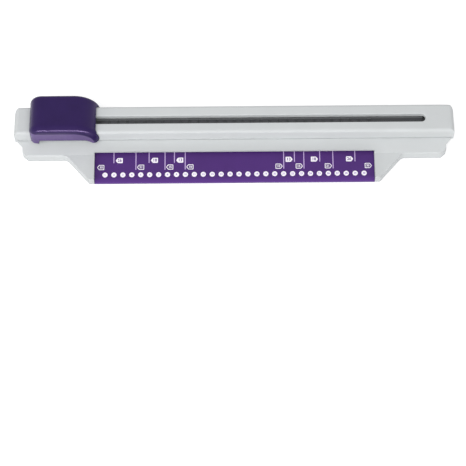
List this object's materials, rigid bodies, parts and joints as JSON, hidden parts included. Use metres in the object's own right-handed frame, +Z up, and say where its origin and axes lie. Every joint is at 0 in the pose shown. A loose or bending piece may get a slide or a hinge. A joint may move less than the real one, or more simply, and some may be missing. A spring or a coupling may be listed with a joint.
{
  "type": "sliding multi-hole paper punch",
  "caption": "Long desk punch for loose-leaf binding: a sliding head runs along a slotted rail above a row of sprung punch pins, with a sloping paper apron and a pull-out chip tray.",
  "frame": {"origin": "on the table, under the middle of the part's bounding box", "axes": "+X along the rail to the user's right, +Y away from the user, +Z up"},
  "size_m": [0.468, 0.084, 0.0465],
  "materials": {
    "case_grey": "fine satin moulding",
    "base_grey": "fine satin moulding",
    "apron_purple": "satin moulding with pale print",
    "plate_steel": "rolled",
    "guide_black": "satin",
    "rubber_black": "matt",
    "spring_steel": "drawn wire",
    "screw_steel": "plated",
    "cap_purple": "smooth moulding",
    "carriage_white": "self-lubricating moulding",
    "roller_steel": "turned",
    "tray_grey": "satin moulding",
    "pin_black": "blackened steel"
  },
  "bodies": {
    "punch_body": {"top_cover": "case_grey", "base": "base_grey", "apron_plate": "apron_purple", "die_plate": "plate_steel", "paper_stop": "plate_steel", "pin_guide": "guide_black", "keeper_front": "base_grey", "keeper_rear": "base_grey", "rail_strip_front": "case_grey", "rail_strip_rear": "case_grey", "bumper_left": "rubber_black", "bumper_right": "rubber_black", "pin_springs": "spring_steel", "rubber_feet": "rubber_black", "case_screws": "screw_steel", "frame_screws": "screw_steel"},
    "slider": {"slider_cap": "cap_purple", "carriage": "carriage_white", "roller_axles": "screw_steel", "cap_screws": "screw_steel"},
    "roller_left": {"roller_left": "roller_steel"},
    "roller_main": {"roller_main": "roller_steel"},
    "roller_right": {"roller_right": "roller_steel"},
    "pin_01": {"pin_01": "pin_black"},
    "pin_02": {"pin_02": "pin_black"},
    "pin_03": {"pin_03": "pin_black"},
    "pin_04": {"pin_04": "pin_black"},
    "pin_05": {"pin_05": "pin_black"},
    "pin_06": {"pin_06": "pin_black"},
    "pin_07": {"pin_07": "pin_black"},
    "pin_08": {"pin_08": "pin_black"},
    "pin_09": {"pin_09": "pin_black"},
    "pin_10": {"pin_10": "pin_black"},
    "pin_11": {"pin_11": "pin_black"},
    "pin_12": {"pin_12": "pin_black"},
    "pin_13": {"pin_13": "pin_black"},
    "pin_14": {"pin_14": "pin_black"},
    "pin_15": {"pin_15": "pin_black"},
    "pin_16": {"pin_16": "pin_black"},
    "pin_17": {"pin_17": "pin_black"},
    "pin_18": {"pin_18": "pin_black"},
    "pin_19": {"pin_19": "pin_black"},
    "pin_20": {"pin_20": "pin_black"},
    "pin_21": {"pin_21": "pin_black"},
    "pin_22": {"pin_22": "pin_black"},
    "pin_23": {"pin_23": "pin_black"},
    "pin_24": {"pin_24": "pin_black"},
    "pin_25": {"pin_25": "pin_black"},
    "pin_26": {"pin_26": "pin_black"},
    "pin_27": {"pin_27": "pin_black"},
    "pin_28": {"pin_28": "pin_black"},
    "pin_29": {"pin_29": "pin_black"},
    "pin_30": {"pin_30": "pin_black"},
    "chip_tray": {"chip_tray": "tray_grey"}
  },
  "joints": [
    {"name": "slider_travel", "type": "slide", "parent": "punch_body", "child": "slider", "axis": [1, 0, 0], "range_m": [0, 0.36]},
    {"name": "chip_tray_slide", "type": "slide", "parent": "punch_body", "child": "chip_tray", "axis": [1, 0, 0], "range_m": [0, 0.3]},
    {"name": "roller_left_spin", "type": "hinge", "parent": "slider", "child": "roller_left", "pos_m": [-0.1905, 0.0199, 0.029], "axis": [0, 1, 0], "continuous": true},
    {"name": "roller_main_spin", "type": "hinge", "parent": "slider", "child": "roller_main", "pos_m": [-0.18, 0.0199, 0.027], "axis": [0, 1, 0], "continuous": true},
    {"name": "roller_right_spin", "type": "hinge", "parent": "slider", "child": "roller_right", "pos_m": [-0.1695, 0.0199, 0.029], "axis": [0, 1, 0], "continuous": true},
    {"name": "pin_01_stroke", "type": "slide", "parent": "punch_body", "child": "pin_01", "axis": [0, 0, -1], "range_m": [0, 0.004], "stiffness_N_per_m": 400, "springref_m": -0.002, "deforming": ["pin_springs"]},
    {"name": "pin_02_stroke", "type": "slide", "parent": "punch_body", "child": "pin_02", "axis": [0, 0, -1], "range_m": [0, 0.004], "stiffness_N_per_m": 400, "springref_m": -0.002, "deforming": ["pin_springs"]},
    {"name": "pin_03_stroke", "type": "slide", "parent": "punch_body", "child": "pin_03", "axis": [0, 0, -1], "range_m": [0, 0.004], "stiffness_N_per_m": 400, "springref_m": -0.002, "deforming": ["pin_springs"]},
    {"name": "pin_04_stroke", "type": "slide", "parent": "punch_body", "child": "pin_04", "axis": [0, 0, -1], "range_m": [0, 0.004], "stiffness_N_per_m": 400, "springref_m": -0.002, "deforming": ["pin_springs"]},
    {"name": "pin_05_stroke", "type": "slide", "parent": "punch_body", "child": "pin_05", "axis": [0, 0, -1], "range_m": [0, 0.004], "stiffness_N_per_m": 400, "springref_m": -0.002, "deforming": ["pin_springs"]},
    {"name": "pin_06_stroke", "type": "slide", "parent": "punch_body", "child": "pin_06", "axis": [0, 0, -1], "range_m": [0, 0.004], "stiffness_N_per_m": 400, "springref_m": -0.002, "deforming": ["pin_springs"]},
    {"name": "pin_07_stroke", "type": "slide", "parent": "punch_body", "child": "pin_07", "axis": [0, 0, -1], "range_m": [0, 0.004], "stiffness_N_per_m": 400, "springref_m": -0.002, "deforming": ["pin_springs"]},
    {"name": "pin_08_stroke", "type": "slide", "parent": "punch_body", "child": "pin_08", "axis": [0, 0, -1], "range_m": [0, 0.004], "stiffness_N_per_m": 400, "springref_m": -0.002, "deforming": ["pin_springs"]},
    {"name": "pin_09_stroke", "type": "slide", "parent": "punch_body", "child": "pin_09", "axis": [0, 0, -1], "range_m": [0, 0.004], "stiffness_N_per_m": 400, "springref_m": -0.002, "deforming": ["pin_springs"]},
    {"name": "pin_10_stroke", "type": "slide", "parent": "punch_body", "child": "pin_10", "axis": [0, 0, -1], "range_m": [0, 0.004], "stiffness_N_per_m": 400, "springref_m": -0.002, "deforming": ["pin_springs"]},
    {"name": "pin_11_stroke", "type": "slide", "parent": "punch_body", "child": "pin_11", "axis": [0, 0, -1], "range_m": [0, 0.004], "stiffness_N_per_m": 400, "springref_m": -0.002, "deforming": ["pin_springs"]},
    {"name": "pin_12_stroke", "type": "slide", "parent": "punch_body", "child": "pin_12", "axis": [0, 0, -1], "range_m": [0, 0.004], "stiffness_N_per_m": 400, "springref_m": -0.002, "deforming": ["pin_springs"]},
    {"name": "pin_13_stroke", "type": "slide", "parent": "punch_body", "child": "pin_13", "axis": [0, 0, -1], "range_m": [0, 0.004], "stiffness_N_per_m": 400, "springref_m": -0.002, "deforming": ["pin_springs"]},
    {"name": "pin_14_stroke", "type": "slide", "parent": "punch_body", "child": "pin_14", "axis": [0, 0, -1], "range_m": [0, 0.004], "stiffness_N_per_m": 400, "springref_m": -0.002, "deforming": ["pin_springs"]},
    {"name": "pin_15_stroke", "type": "slide", "parent": "punch_body", "child": "pin_15", "axis": [0, 0, -1], "range_m": [0, 0.004], "stiffness_N_per_m": 400, "springref_m": -0.002, "deforming": ["pin_springs"]},
    {"name": "pin_16_stroke", "type": "slide", "parent": "punch_body", "child": "pin_16", "axis": [0, 0, -1], "range_m": [0, 0.004], "stiffness_N_per_m": 400, "springref_m": -0.002, "deforming": ["pin_springs"]},
    {"name": "pin_17_stroke", "type": "slide", "parent": "punch_body", "child": "pin_17", "axis": [0, 0, -1], "range_m": [0, 0.004], "stiffness_N_per_m": 400, "springref_m": -0.002, "deforming": ["pin_springs"]},
    {"name": "pin_18_stroke", "type": "slide", "parent": "punch_body", "child": "pin_18", "axis": [0, 0, -1], "range_m": [0, 0.004], "stiffness_N_per_m": 400, "springref_m": -0.002, "deforming": ["pin_springs"]},
    {"name": "pin_19_stroke", "type": "slide", "parent": "punch_body", "child": "pin_19", "axis": [0, 0, -1], "range_m": [0, 0.004], "stiffness_N_per_m": 400, "springref_m": -0.002, "deforming": ["pin_springs"]},
    {"name": "pin_20_stroke", "type": "slide", "parent": "punch_body", "child": "pin_20", "axis": [0, 0, -1], "range_m": [0, 0.004], "stiffness_N_per_m": 400, "springref_m": -0.002, "deforming": ["pin_springs"]},
    {"name": "pin_21_stroke", "type": "slide", "parent": "punch_body", "child": "pin_21", "axis": [0, 0, -1], "range_m": [0, 0.004], "stiffness_N_per_m": 400, "springref_m": -0.002, "deforming": ["pin_springs"]},
    {"name": "pin_22_stroke", "type": "slide", "parent": "punch_body", "child": "pin_22", "axis": [0, 0, -1], "range_m": [0, 0.004], "stiffness_N_per_m": 400, "springref_m": -0.002, "deforming": ["pin_springs"]},
    {"name": "pin_23_stroke", "type": "slide", "parent": "punch_body", "child": "pin_23", "axis": [0, 0, -1], "range_m": [0, 0.004], "stiffness_N_per_m": 400, "springref_m": -0.002, "deforming": ["pin_springs"]},
    {"name": "pin_24_stroke", "type": "slide", "parent": "punch_body", "child": "pin_24", "axis": [0, 0, -1], "range_m": [0, 0.004], "stiffness_N_per_m": 400, "springref_m": -0.002, "deforming": ["pin_springs"]},
    {"name": "pin_25_stroke", "type": "slide", "parent": "punch_body", "child": "pin_25", "axis": [0, 0, -1], "range_m": [0, 0.004], "stiffness_N_per_m": 400, "springref_m": -0.002, "deforming": ["pin_springs"]},
    {"name": "pin_26_stroke", "type": "slide", "parent": "punch_body", "child": "pin_26", "axis": [0, 0, -1], "range_m": [0, 0.004], "stiffness_N_per_m": 400, "springref_m": -0.002, "deforming": ["pin_springs"]},
    {"name": "pin_27_stroke", "type": "slide", "parent": "punch_body", "child": "pin_27", "axis": [0, 0, -1], "range_m": [0, 0.004], "stiffness_N_per_m": 400, "springref_m": -0.002, "deforming": ["pin_springs"]},
    {"name": "pin_28_stroke", "type": "slide", "parent": "punch_body", "child": "pin_28", "axis": [0, 0, -1], "range_m": [0, 0.004], "stiffness_N_per_m": 400, "springref_m": -0.002, "deforming": ["pin_springs"]},
    {"name": "pin_29_stroke", "type": "slide", "parent": "punch_body", "child": "pin_29", "axis": [0, 0, -1], "range_m": [0, 0.004], "stiffness_N_per_m": 400, "springref_m": -0.002, "deforming": ["pin_springs"]},
    {"name": "pin_30_stroke", "type": "slide", "parent": "punch_body", "child": "pin_30", "axis": [0, 0, -1], "range_m": [0, 0.004], "stiffness_N_per_m": 400, "springref_m": -0.002, "deforming": ["pin_springs"]}
  ],
  "couplings": [
    {"joint": "roller_left_spin", "follows": "slider_travel", "rad_per_m": 238.1},
    {"joint": "roller_main_spin", "follows": "slider_travel", "rad_per_m": 238.1},
    {"joint": "roller_right_spin", "follows": "slider_travel", "rad_per_m": 238.1}
  ]
}
